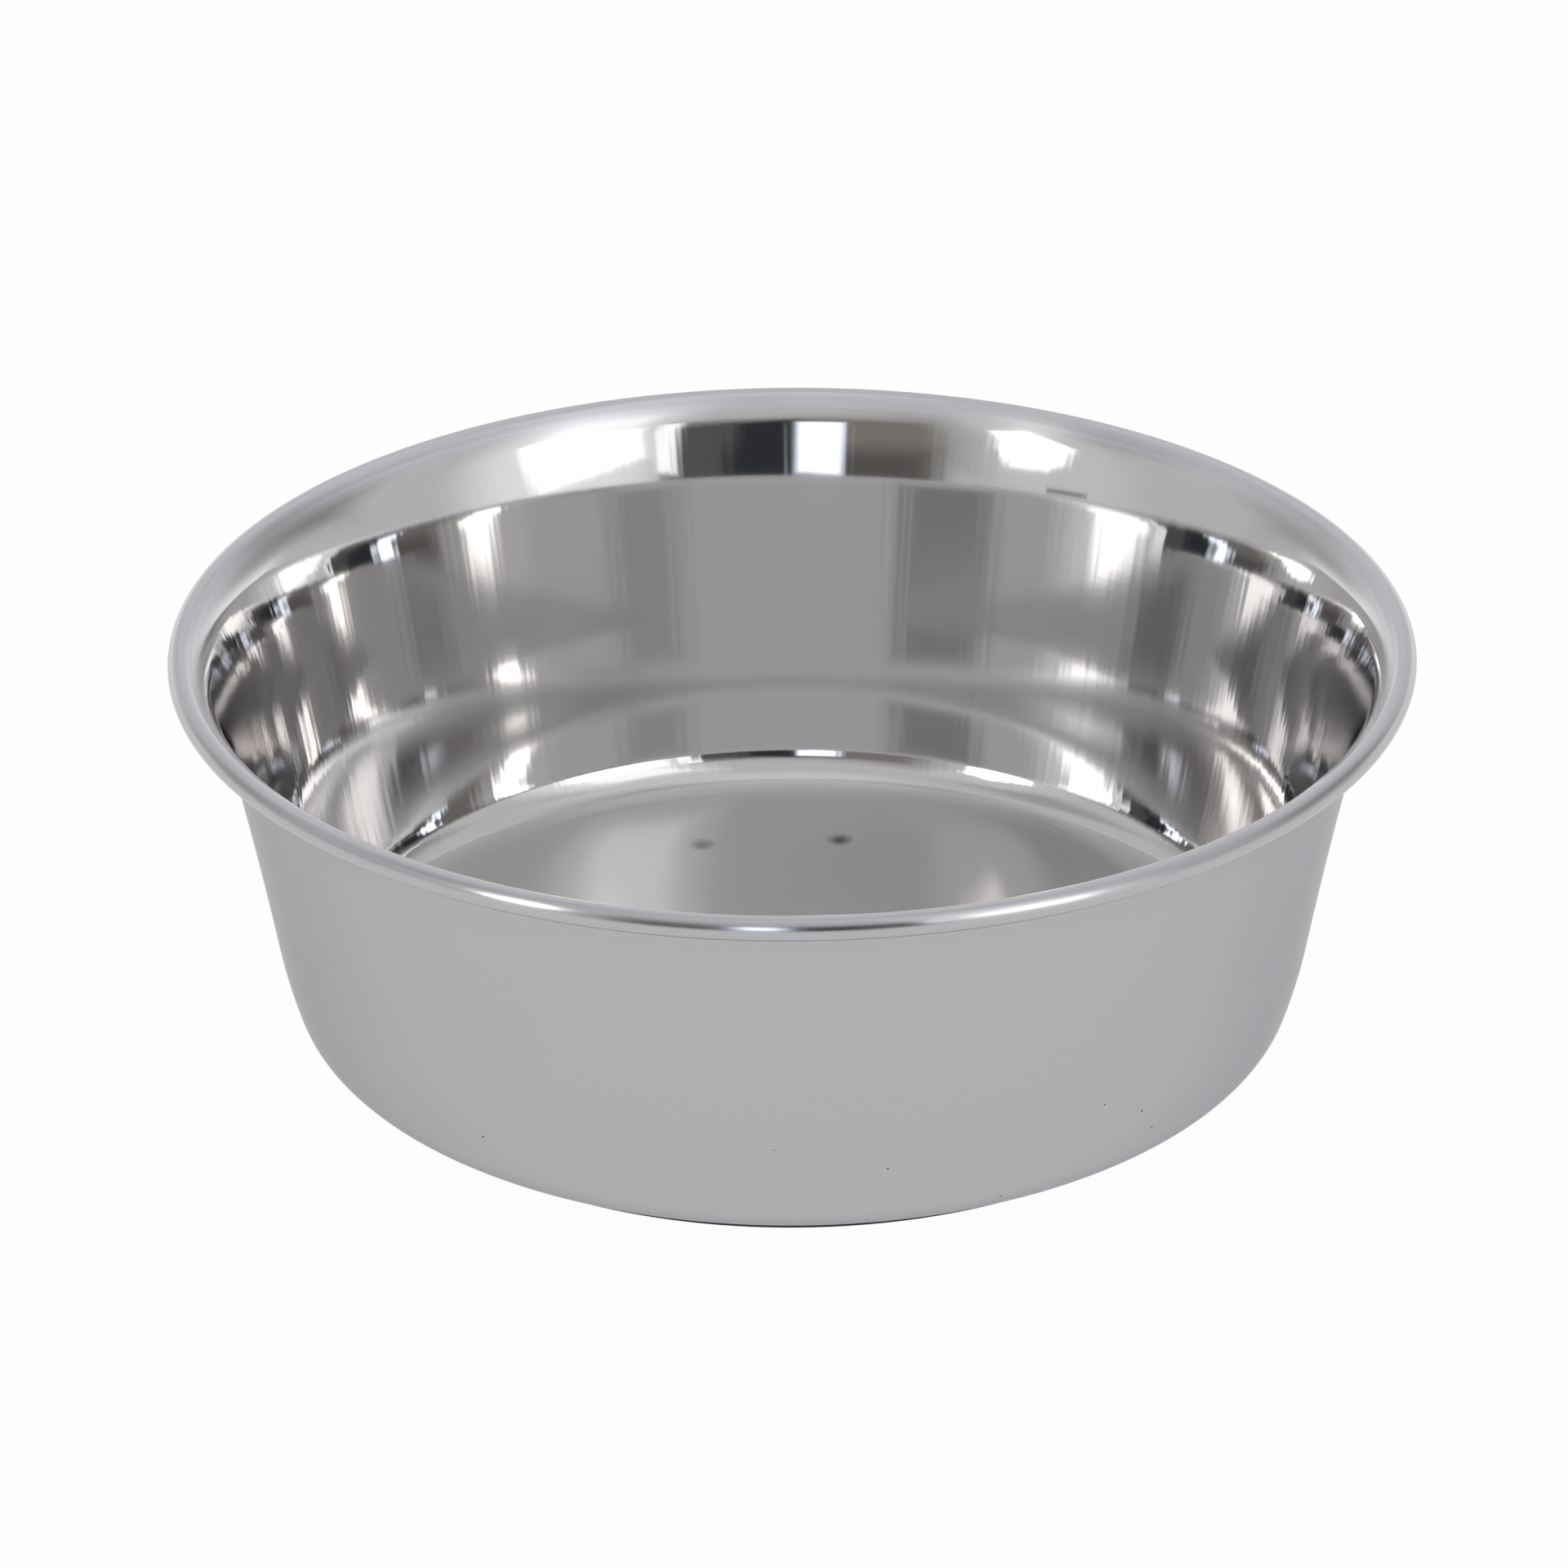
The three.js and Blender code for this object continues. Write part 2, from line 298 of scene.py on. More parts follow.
def up_the_flare(start, fade):
    """0 below the flare, then rising to 1 over a share of it from a start, and 1 on the bead."""
    rows = np.concatenate([np.clip((evenly(FLARE_RINGS) - start) / fade, 0, 1), np.ones(BEAD_RINGS)])
    below, above = len(inner_face) - len(rows), len(profile) - len(inner_face)
    return np.pad(rows, (below, above))[:, None]


satin = np.clip((flat_radius + SATIN_EDGE / 2 - profile[:, 0][:, None]) / SATIN_EDGE, 0, 1) * on_inner
steel_values = {
    "sheet_path": path[:, None],
    "outside": outside,
    "satin": satin,
    "lip": up_the_flare(LIP_START, LIP_FADE),
    "fluted": on_inner - satin - up_the_flare(0, FLUTE_FADE),
    "weld_mark": mark,
}
bowl = turned("bowl", profile[:, 0], height, angles, poles=(FLOOR_TOP, FLOOR_BOTTOM), values=steel_values)
rows = np.repeat(np.arange(len(profile) - 1) >= len(inner_face), len(angles))
middles = np.repeat([False, True], len(angles))
bowl.data.polygons.foreach_set("material_index", np.concatenate([rows, middles]).astype(np.int32))
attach(bowl, "root")
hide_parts("bowl_shell")

# %% [markdown]
# The rings under the floor
#
# The clamp ring is sheet too, pressed with a step: its inner flat is welded to the floor and its outer flat
# holds the rubber's tongue. The rubber ring is moulded, so all its edges are round. Both are closed profiles
# with their corners rounded, carried around like the shell. Pressed metal has small bends, and rubber larger
# ones. A bevel modifier could round the corners, but an arc in the profile gives each corner its own radius.


# %% Helpers: round the corners of a closed outline, and make a ring from it
CORNER_STEPS = 6


def rounded(corners, radii):
    """Each corner becomes an arc of its radius, tangent to the two sides that meet there."""
    corners = np.asarray(corners)
    before, after = np.roll(corners, 1, axis=0), np.roll(corners, -1, axis=0)
    share = np.linspace(0, 1, CORNER_STEPS)[:, None]
    pieces = []
    for corner, back, ahead, radius in zip(corners, before, after, radii):
        inward = (back - corner) / np.linalg.norm(back - corner)
        onward = (ahead - corner) / np.linalg.norm(ahead - corner)
        half = np.arccos(np.clip(inward @ onward, -1, 1)) / 2
        middle = corner + (inward + onward) / np.linalg.norm(inward + onward) * radius / np.sin(half)
        start = corner + inward * radius / np.tan(half) - middle
        end = corner + onward * radius / np.tan(half) - middle
        swing = np.pi - 2 * half
        curve = (np.sin((1 - share) * swing) * start + np.sin(share * swing) * end) / np.sin(swing)
        pieces.append(middle + curve)
    return np.concatenate(pieces)


def ring_piece(name, corners, radii, flat_rows=(), hollows=None, marks=None):
    """A ring from a rounded outline, which starts with its flat top and ends with the flat under it.

    flat_rows are the radii of more rings on those two flats, hollows gives the depth to take off each grid
    point, and marks how strong a weld's mark is there.
    """
    outline = rounded(corners, radii)
    top = [(radius, corners[0][1]) for radius in flat_rows]
    under = [(radius, corners[-1][1]) for radius in flat_rows[::-1]]
    outline = np.array([*outline[:CORNER_STEPS], *top, *outline[CORNER_STEPS:-CORNER_STEPS], *under,
                        *outline[-CORNER_STEPS:]])
    tall = np.repeat(outline[:, 1][:, None], len(angles), axis=1)
    if hollows is not None:
        tall = tall - hollows(outline)
    values = {} if marks is None else {"weld_mark": marks(outline)}
    piece = turned(name, outline[:, 0], tall, angles, values=values)
    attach(piece, "root")
    return piece


# %% The clamp ring
RING_SHEET = 0.8 * MM
TONGUE = 1.2 * MM
FIT_GAP = 0.3 * MM
PAD_WIDTH = 6.5 * MM
TONGUE_WIDTH = 4 * MM
CUT_EDGE, BEND_IN, BEND_OUT = 0.1 * MM, 0.15 * MM, 0.5 * MM
ring_low, ring_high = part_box("clamp_ring")
pad_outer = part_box("non_slip_ring")[1].x
pad_inner = pad_outer - PAD_WIDTH
tongue_inner = pad_inner - TONGUE_WIDTH
tongue_bottom = FLOOR_BOTTOM - TONGUE
step_outer = tongue_inner - FIT_GAP
step_inner = step_outer - RING_SHEET
clamp_outer = ring_high.x
flange_inner = 2 * WELD_CIRCLE - step_inner
flange_bottom = FLOOR_BOTTOM - RING_SHEET


def weld_pockets(outline):
    """The ring's top face sinks under each weld, as far as the nugget reaches into it."""
    top = (np.abs(outline[:, 1] - FLOOR_BOTTOM) < SAME_PLACE)[:, None]
    near, _ = from_nearest_weld(outline[:, 0], angles)
    return np.where(top, (FLOOR_BOTTOM - weld_low.z) * pocket(near), 0)


def marks_under_ring(outline):
    """The lower electrodes' marks, on the flat under the welds."""
    below = (np.abs(outline[:, 1] - flange_bottom) < SAME_PLACE)[:, None]
    near, _ = from_nearest_weld(outline[:, 0], angles)
    return np.where(below, haze(near), 0)


ring_corners = [
    (flange_inner, FLOOR_BOTTOM), (step_outer, FLOOR_BOTTOM), (step_outer, tongue_bottom),
    (clamp_outer, tongue_bottom), (clamp_outer, ring_low.z), (step_inner, ring_low.z),
    (step_inner, flange_bottom), (flange_inner, flange_bottom),
]
ring_radii = [CUT_EDGE, BEND_OUT, BEND_IN, CUT_EDGE, CUT_EDGE, BEND_OUT, BEND_IN, CUT_EDGE]
clamp_ring = ring_piece("clamp_ring_pressing", ring_corners, ring_radii, weld_rings,
                        weld_pockets, marks_under_ring)
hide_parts("clamp_ring")

# %% The rubber ring
MOULD_EDGE, FOOT_EDGE = 0.3 * MM, 0.9 * MM
pad_corners = [
    (tongue_inner, FLOOR_BOTTOM), (pad_outer, FLOOR_BOTTOM), (pad_outer, 0), (pad_inner, 0),
    (pad_inner, tongue_bottom), (tongue_inner, tongue_bottom),
]
pad_radii = [MOULD_EDGE, MOULD_EDGE, FOOT_EDGE, FOOT_EDGE, MOULD_EDGE, MOULD_EDGE]
rubber_ring = ring_piece("rubber_ring", pad_corners, pad_radii)
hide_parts("non_slip_ring")

# %% [markdown]
# Finishes
#
# Each finish is a small tree of nodes. Colours are written as they look on a screen, in hex, and one function
# turns them into the linear values that light is reckoned in. One more function adds a node with its settings
# and links.


# %% Helpers: colour and nodes
WHITE = "#FFFFFF"


def linear(hex_code):
    """An sRGB hex colour as linear red, green, blue and a full alpha."""
    srgb = np.array([int(hex_code[i:i + 2], 16) for i in (1, 3, 5)]) / 255
    light = np.where(srgb <= 0.04045, srgb / 12.92, ((srgb + 0.055) / 1.055) ** 2.4)
    return (*light.tolist(), 1.0)


def empty_tree(block):
    """The tree of nodes of a material or a world, with nothing in it."""
    block.use_nodes = True
    block.node_tree.nodes.clear()
    return block.node_tree


def add(tree, kind, inputs=None, **settings):
    """A new node of that kind: inputs are values or sockets by name or number, settings its properties."""
    node = tree.nodes.new(kind)
    for label, value in settings.items():
        setattr(node, label, value)
    for label, value in (inputs or {}).items():
        if isinstance(value, bpy.types.NodeSocket):
            tree.links.new(value, node.inputs[label])
        else:
            node.inputs[label].default_value = value
    return node


# %% [markdown]
# Mirror-polished stainless steel
#
# Inside, the bowl is buffed on a soft wheel until the wall is a mirror. The floor, where the wheel reaches
# badly, stays satin, and the lip shows the fine lines of a brush. Drawing the sheet over its punch leaves
# the wall uneven by a few hundredths of a millimetre, in upright flutes and in broader waves, and that is
# what makes the reflections waver. All the buffing lines run around the bowl, so they draw a reflection out
# across themselves, up and down, which is what the shader's anisotropy is for. Steel reflects about two
# thirds of the light, evenly over the colours, so its colour is a grey. The flutes follow the direction
# around the bowl, which is the place divided by its distance from the axis.

# %% Values of the two polished steels
MIRROR_STEEL, SATIN_STEEL = "#DBDADA", "#D1D0D0"
LIP_STEEL, LIP_LINE = "#F0F0F4", "#CECED3"
BUFFED_STEEL, WELD_TINT = "#C1C1C4", "#6F6B67"
MIRROR_ROUGHNESS, SATIN_ROUGHNESS, LIP_ROUGHNESS = 0.055, 0.26, 0.24
BUFFED_ROUGHNESS, WELD_ROUGHNESS = 0.2, 0.5
LINE_STRETCH = 0.9
QUARTER_TURN = 0.25
LINE_SPACING = 0.9 * MM  # real lines are about 0.1 mm apart, too fine for the render
LINE_RUN = 60 * MM
LINE_DEPTH = 0.001 * MM
LINE_DETAIL, WAVE_DETAIL = 3.0, 1.0
WAVE_SIZE, WAVE_DEPTH = 24 * MM, 0.035 * MM
FLUTE_SIZE, FLUTE_LENGTH, FLUTE_DEPTH = 2.6 * MM, 70 * MM, 0.026 * MM


def along_and_around(tree):
    """The place on the piece, and the buffing lines: noise that is long around the bowl and short up it."""
    place = add(tree, "ShaderNodeTexCoord").outputs["Object"]
    along = add(tree, "ShaderNodeAttribute", attribute_name="sheet_path").outputs["Fac"]
    flat = add(tree, "ShaderNodeVectorMath", {0: place, 1: (1 / LINE_RUN, 1 / LINE_RUN, 0)},
               operation="MULTIPLY")
    rise = add(tree, "ShaderNodeCombineXYZ", {2: along})
    line_place = add(tree, "ShaderNodeVectorMath", {0: rise.outputs[0], 1: (0, 0, 1 / LINE_SPACING),
                                                    2: flat.outputs[0]}, operation="MULTIPLY_ADD")
    lines = add(tree, "ShaderNodeTexNoise",
                {"Vector": line_place.outputs[0], "Scale": 1.0, "Detail": LINE_DETAIL})
    return place, lines.outputs[0]


# %% Material: mirror-polished stainless steel
def mirror_steel():
    """Mirror wall, satin floor, brushed lip, dull weld marks, and buffed over the bead's outer side."""
    material = bpy.data.materials.new("mirror-polished stainless steel")
    tree = empty_tree(material)
    place, lines = along_and_around(tree)
    outside, satin, lip, drawn, weld = [
        add(tree, "ShaderNodeAttribute", attribute_name=label).outputs["Fac"]
        for label in ("outside", "satin", "lip", "fluted", "weld_mark")
    ]
    brushed = add(tree, "ShaderNodeMix", {"Factor": lines, "A": linear(LIP_LINE), "B": linear(LIP_STEEL)},
                  data_type="RGBA").outputs["Result"]
    colour, rough = linear(MIRROR_STEEL), MIRROR_ROUGHNESS
    finishes = (
        (satin, linear(SATIN_STEEL), SATIN_ROUGHNESS),
        (lip, brushed, LIP_ROUGHNESS),
        (outside, linear(BUFFED_STEEL), BUFFED_ROUGHNESS),
        (weld, linear(WELD_TINT), WELD_ROUGHNESS),
    )
    for share, tint, roughness in finishes:
        colour = add(tree, "ShaderNodeMix", {"Factor": share, "A": colour, "B": tint},
                     data_type="RGBA").outputs["Result"]
        rough = add(tree, "ShaderNodeMix", {"Factor": share, "A": rough, "B": roughness},
                    data_type="FLOAT").outputs["Result"]

    flat = add(tree, "ShaderNodeVectorMath", {0: place, 1: (1, 1, 0)}, operation="MULTIPLY")
    around = add(tree, "ShaderNodeVectorMath", {0: flat.outputs[0]}, operation="NORMALIZE")
    turn = RIM_RADIUS / FLUTE_SIZE
    upright = add(tree, "ShaderNodeVectorMath", {0: place, 1: (0, 0, 1 / FLUTE_LENGTH)}, operation="MULTIPLY")
    flute_place = add(tree, "ShaderNodeVectorMath", {0: around.outputs[0], 1: (turn, turn, 0),
                                                     2: upright.outputs[0]}, operation="MULTIPLY_ADD")
    flutes = add(tree, "ShaderNodeTexNoise",
                 {"Vector": flute_place.outputs[0], "Scale": 1.0, "Detail": WAVE_DETAIL})
    waves = add(tree, "ShaderNodeTexNoise", {"Vector": place, "Scale": 1 / WAVE_SIZE, "Detail": WAVE_DETAIL})
    wavy = add(tree, "ShaderNodeBump", {"Strength": 1.0, "Distance": WAVE_DEPTH, "Height": waves.outputs[0]})
    fluted = add(tree, "ShaderNodeBump", {"Strength": drawn, "Distance": FLUTE_DEPTH,
                                          "Height": flutes.outputs[0], "Normal": wavy.outputs[0]})
    buffed = add(tree, "ShaderNodeBump", {"Strength": 1.0, "Distance": LINE_DEPTH, "Height": lines,
                                          "Normal": fluted.outputs[0]})
    round_about = add(tree, "ShaderNodeTangent", direction_type="RADIAL", axis="Z")
    shader = add(tree, "ShaderNodeBsdfPrincipled", {
        "Base Color": colour, "Roughness": rough, "Metallic": 1.0, "Normal": buffed.outputs[0],
        "Tangent": round_about.outputs[0], "Anisotropic": LINE_STRETCH, "Anisotropic Rotation": QUARTER_TURN,
    })
    add(tree, "ShaderNodeOutputMaterial", {"Surface": shader.outputs[0]})
    return material


# %% [markdown]
# Buffed stainless steel
#
# Outside, the bowl only gets a coarser wheel. Its fine lines all run around the bowl and blur what it
# reflects to an even grey. A few small dark dots are painted low on the wall in a darker grey: each is where
# the surface passes close by the middle of one of a Voronoi pattern's cells, which is seldom. Brushed metal
# brightens less towards its outline than a mirror does, and the specular tint says so.

# %% Material: buffed stainless steel
# the darker grey that is painted as small dark dots low on the outer wall
DARK_DOT_GREY, OUTLINE_TINT = "#4E4E50", "#DCDCDE"
LINE_ROUGHNESS = 0.04
DARK_DOT_SPACING = 6 * MM
DARK_DOT_RADIUS = 0.2 * MM
DARK_DOT_TOP = 27 * MM
DARK_DOT_SHARE = 0.8


def buffed_steel():
    """Even grey steel with fine lines around the bowl and a few small dark dots low down."""
    material = bpy.data.materials.new("buffed stainless steel")
    tree = empty_tree(material)
    place, lines = along_and_around(tree)
    cells = add(tree, "ShaderNodeTexVoronoi", {"Vector": place, "Scale": 1 / DARK_DOT_SPACING})
    chance = add(tree, "ShaderNodeSeparateColor", {0: cells.outputs["Color"]}).outputs[0]
    level = add(tree, "ShaderNodeSeparateXYZ", {0: place}).outputs[2]
    limits = (
        (cells.outputs["Distance"], DARK_DOT_RADIUS / DARK_DOT_SPACING),
        (chance, DARK_DOT_SHARE),
        (level, DARK_DOT_TOP),
    )
    # small dark dots: where all three limits hold, the steel's grey is painted over with the darker grey
    dark_dot = 1.0
    for amount, limit in limits:
        under = add(tree, "ShaderNodeMath", {0: amount, 1: limit}, operation="LESS_THAN").outputs[0]
        dark_dot = add(tree, "ShaderNodeMath", {0: dark_dot, 1: under}, operation="MULTIPLY").outputs[0]
    colour = add(tree, "ShaderNodeMix",
                 {"Factor": dark_dot, "A": linear(BUFFED_STEEL), "B": linear(DARK_DOT_GREY)}, data_type="RGBA")
    rough = add(tree, "ShaderNodeMath", {0: lines, 1: LINE_ROUGHNESS, 2: BUFFED_ROUGHNESS},
                operation="MULTIPLY_ADD")
    bump = add(tree, "ShaderNodeBump", {"Strength": 1.0, "Distance": LINE_DEPTH, "Height": lines})
    shader = add(tree, "ShaderNodeBsdfPrincipled", {
        "Base Color": colour.outputs["Result"], "Roughness": rough.outputs[0], "Metallic": 1.0,
        "Normal": bump.outputs[0], "Specular Tint": linear(OUTLINE_TINT),
    })
    add(tree, "ShaderNodeOutputMaterial", {"Surface": shader.outputs[0]})
    return material


for finish in (mirror_steel(), buffed_steel()):
    bowl.data.materials.append(finish)
    print(f"bowl: {finish.name}, {len(finish.node_tree.nodes)} nodes")

# %% [markdown]
# Pressed steel and weld steel
#
# The clamp ring is cut from cold-rolled stainless strip, which has a grey, silky face with fine straight
# lines along the way it was rolled, and the electrodes' marks on its flat. The nuggets were molten for a
# moment, so they are darker and duller, with a straw tint.

# %% Materials: rolled strip and weld nugget
STRIP_DARK, STRIP_LIGHT = "#9C9C9E", "#B4B4B5"
STRIP_SMOOTH, STRIP_ROUGH = 0.28, 0.42
ROLLING_LINE = 0.5 * MM
ROLLING_RUN = 40 * MM
ROLLING_DETAIL = 4.0
ROLLING_DEPTH, ROLLING_STRENGTH = 0.01 * MM, 0.4
NUGGET_DARK, NUGGET_LIGHT = "#6E6963", "#8B8781"
NUGGET_SMOOTH, NUGGET_ROUGH = 0.4, 0.6
NUGGET_GRAIN = 0.6 * MM
NUGGET_DETAIL = 3.0


def rolled_strip():
    """Silky grey steel with straight rolling lines along X, dull where a weld has marked it."""
    material = bpy.data.materials.new("cold-rolled stainless strip")
    tree = empty_tree(material)
    place = add(tree, "ShaderNodeTexCoord").outputs["Object"]
    drawn_out = add(tree, "ShaderNodeMapping",
                    {"Vector": place, "Scale": (1 / ROLLING_RUN, 1 / ROLLING_LINE, 1 / ROLLING_LINE)})
    lines = add(tree, "ShaderNodeTexNoise",
                {"Vector": drawn_out.outputs[0], "Scale": 1.0, "Detail": ROLLING_DETAIL}).outputs[0]
    shade = add(tree, "ShaderNodeMix", {"Factor": lines, "A": linear(STRIP_DARK), "B": linear(STRIP_LIGHT)},
                data_type="RGBA")
    rough = add(tree, "ShaderNodeMapRange", {"Value": lines, "To Min": STRIP_SMOOTH, "To Max": STRIP_ROUGH})
    bump = add(tree, "ShaderNodeBump",
               {"Strength": ROLLING_STRENGTH, "Distance": ROLLING_DEPTH, "Height": lines})
    weld = add(tree, "ShaderNodeAttribute", attribute_name="weld_mark").outputs["Fac"]
    marked = add(tree, "ShaderNodeMix",
                 {"Factor": weld, "A": shade.outputs["Result"], "B": linear(WELD_TINT)}, data_type="RGBA")
    dulled = add(tree, "ShaderNodeMix", {"Factor": weld, "A": rough.outputs[0], "B": WELD_ROUGHNESS},
                 data_type="FLOAT")
    shader = add(tree, "ShaderNodeBsdfPrincipled", {
        "Base Color": marked.outputs["Result"], "Roughness": dulled.outputs["Result"], "Metallic": 1.0,
        "Normal": bump.outputs[0],
    })
    add(tree, "ShaderNodeOutputMaterial", {"Surface": shader.outputs[0]})
    return material


def weld_steel():
    """Dull straw-grey steel with the fine grain of a melt."""
    material = bpy.data.materials.new("resistance-welded steel")
    tree = empty_tree(material)
    place = add(tree, "ShaderNodeTexCoord").outputs["Object"]
    grain = add(tree, "ShaderNodeTexNoise",
                {"Vector": place, "Scale": 1 / NUGGET_GRAIN, "Detail": NUGGET_DETAIL}).outputs[0]
    shade = add(tree, "ShaderNodeMix", {"Factor": grain, "A": linear(NUGGET_DARK), "B": linear(NUGGET_LIGHT)},
                data_type="RGBA")
    rough = add(tree, "ShaderNodeMapRange", {"Value": grain, "To Min": NUGGET_SMOOTH, "To Max": NUGGET_ROUGH})
    shader = add(tree, "ShaderNodeBsdfPrincipled", {
        "Base Color": shade.outputs["Result"], "Roughness": rough.outputs[0], "Metallic": 1.0,
    })
    add(tree, "ShaderNodeOutputMaterial", {"Surface": shader.outputs[0]})
    return material


clamp_ring.data.materials.append(rolled_strip())
nugget_steel = weld_steel()
for name in weld_names:
    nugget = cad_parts[name].data.materials
    nugget.clear()
    nugget.append(nugget_steel)
print(f"{len(weld_names)} welds: {nugget_steel.name}")

# %% [markdown]
# Moulded rubber
#
# The ring is black natural rubber with carbon in it, moulded in a tool that was spark-eroded to a matt
# grain. Rubber is never quite black, and it shows a faint grey bloom, so the colour moves a little from
# place to place.

# %% Material: moulded black rubber
RUBBER_BLACK, RUBBER_BLOOM = "#161617", "#2C2C2E"
RUBBER_SMOOTH, RUBBER_ROUGH = 0.65, 0.85
RUBBER_IOR = 1.52
TOOL_GRAIN, TOOL_DETAIL = 0.5 * MM, 2.0
GRAIN_DEPTH, GRAIN_STRENGTH = 0.05 * MM, 0.6
BLOOM_SIZE, BLOOM_DETAIL = 15 * MM, 4.0


def moulded_rubber():
    """Matt near-black rubber with a fine tool grain and a faint bloom."""
    material = bpy.data.materials.new("moulded black rubber")
    tree = empty_tree(material)
    place = add(tree, "ShaderNodeTexCoord").outputs["Object"]
    grain, bloom = [
        add(tree, "ShaderNodeTexNoise", {"Vector": place, "Scale": 1 / size, "Detail": detail}).outputs[0]
        for size, detail in ((TOOL_GRAIN, TOOL_DETAIL), (BLOOM_SIZE, BLOOM_DETAIL))
    ]
    shade = add(tree, "ShaderNodeMix",
                {"Factor": bloom, "A": linear(RUBBER_BLACK), "B": linear(RUBBER_BLOOM)}, data_type="RGBA")
    rough = add(tree, "ShaderNodeMapRange", {"Value": grain, "To Min": RUBBER_SMOOTH, "To Max": RUBBER_ROUGH})
    bump = add(tree, "ShaderNodeBump", {"Strength": GRAIN_STRENGTH, "Distance": GRAIN_DEPTH, "Height": grain})
    shader = add(tree, "ShaderNodeBsdfPrincipled", {
        "Base Color": shade.outputs["Result"], "Roughness": rough.outputs[0], "Normal": bump.outputs[0],
        "IOR": RUBBER_IOR,
    })
    add(tree, "ShaderNodeOutputMaterial", {"Surface": shader.outputs[0]})
    return material


rubber_ring.data.materials.append(moulded_rubber())

# %% [markdown]
# The studio
#
# Polished steel is mostly a picture of what is around it, so the room matters as much as the metal. It is a
# pale room. On the camera's side stand a large soft box to the right, a smaller one to the left, and between
# them a dark screen with a cool strip lamp. The world shader paints them by direction: the angle around,
# counted from the camera's side to the right, and the angle above the horizon. Each is a shape with straight
# sides and soft edges, painted over the ones before it. Lamps as objects would show in the steel too, but a
# painted room needs no walls.

# %% The room's patches
ROOM_GREY = "#CCCBCC"


def oblong(sides, heights):
    """Corners of the patch between two angles around and two above the horizon."""
    left, right = sides
    low, high = heights
    return [(left, low), (right, low), (right, high), (left, high)]


def behind(colour, soft, sides, heights):
    """A patch behind the bowl, where the angle around jumps from 180 to -180: once for each side of that."""
    left, right = sides
    return [(colour, 1.0, soft, oblong(half, heights)) for half in ((left, right), (-right, -left))]


ROOM_PATCHES = [
    # colour, strength, softness of the edge, corners (around, above) in anticlockwise order, all in degrees
    ("#DEDDDE", 1.0, 24, oblong((30, 100), (62, 120))),  # ceiling over the large soft box
    ("#DEDDDE", 1.0, 14, oblong((-200, 200), (78, 120))),  # ceiling overhead
    *behind("#B6B5B6", 14, (130, 230), (64, 76)),  # shaded ceiling
    *behind("#D8D7D8", 14, (138, 220), (39, 56)),  # pale panel
    *behind(WHITE, 12, (120, 230), (-30, 8)),  # white backdrop
    ("#969594", 1.0, 20, oblong((99, 136), (14, 36))),  # side wall, right
    ("#B0AFAE", 1.0, 20, oblong((-134, -106), (8, 34))),  # side wall, left
    (WHITE, 1.0, 22, oblong((27, 67), (-20, 60))),  # glow round the large soft box
    (WHITE, 1.35, 8, oblong((33, 57), (38, 56))),  # light that it throws on the ceiling
    ("#B0AFB0", 1.0, 16, oblong((-105, -66), (42, 64))),  # shaded corner, left
    ("#DAD9D8", 1.0, 16, oblong((-70, -38), (0, 56))),  # glow round the small soft box
    ("#A9A7A4", 1.0, 20, [(-36, 10), (20, 10), (18, 38), (-36, 50)]),  # wall above the screen
    ("#84817E", 1.0, 9, oblong((-30, 24), (-20, 38))),  # screen on the camera's side
    ("#5E5B59", 1.0, 12, oblong((-28, 24), (-20, 16))),  # its lower, darker part
    ("#5C5B5A", 1.0, 7, [(12, -20), (24, -20), (23.5, 30), (12, 33)]),  # its dark end
    ("#33353A", 1.0, 7, [(-1, -20), (14, -20), (12, 32), (-1, 37)]),  # gap in the screen
    ("#EAF2FF", 3.2, 6, [(-9, 5), (-2, 6), (-2.5, 32), (-10, 32)]),  # strip lamp
    (WHITE, 1.4, 3, [(23, 6), (27, 8), (28, 38), (23.5, 38)]),  # narrow side of the large soft box
    # the large soft box and the small one
    ("#FFFEFC", 2.6, 8, [(51, 6.5), (57, 32), (49, 39), (33, 34), (31, 16), (41, 10.5)]),
    ("#FFFCF8", 5.0, 8, [(-59, 31), (-55, 18), (-51, 15.5), (-46, 15.5), (-44, 21), (-46, 37), (-54, 41)]),
    ("#77777A", 1.0, 1.5, oblong((-61, -52), (4.6, 6.2))),  # stand of the small soft box
]


# %% The room as a world
MIRROR_BOUNCES = 20


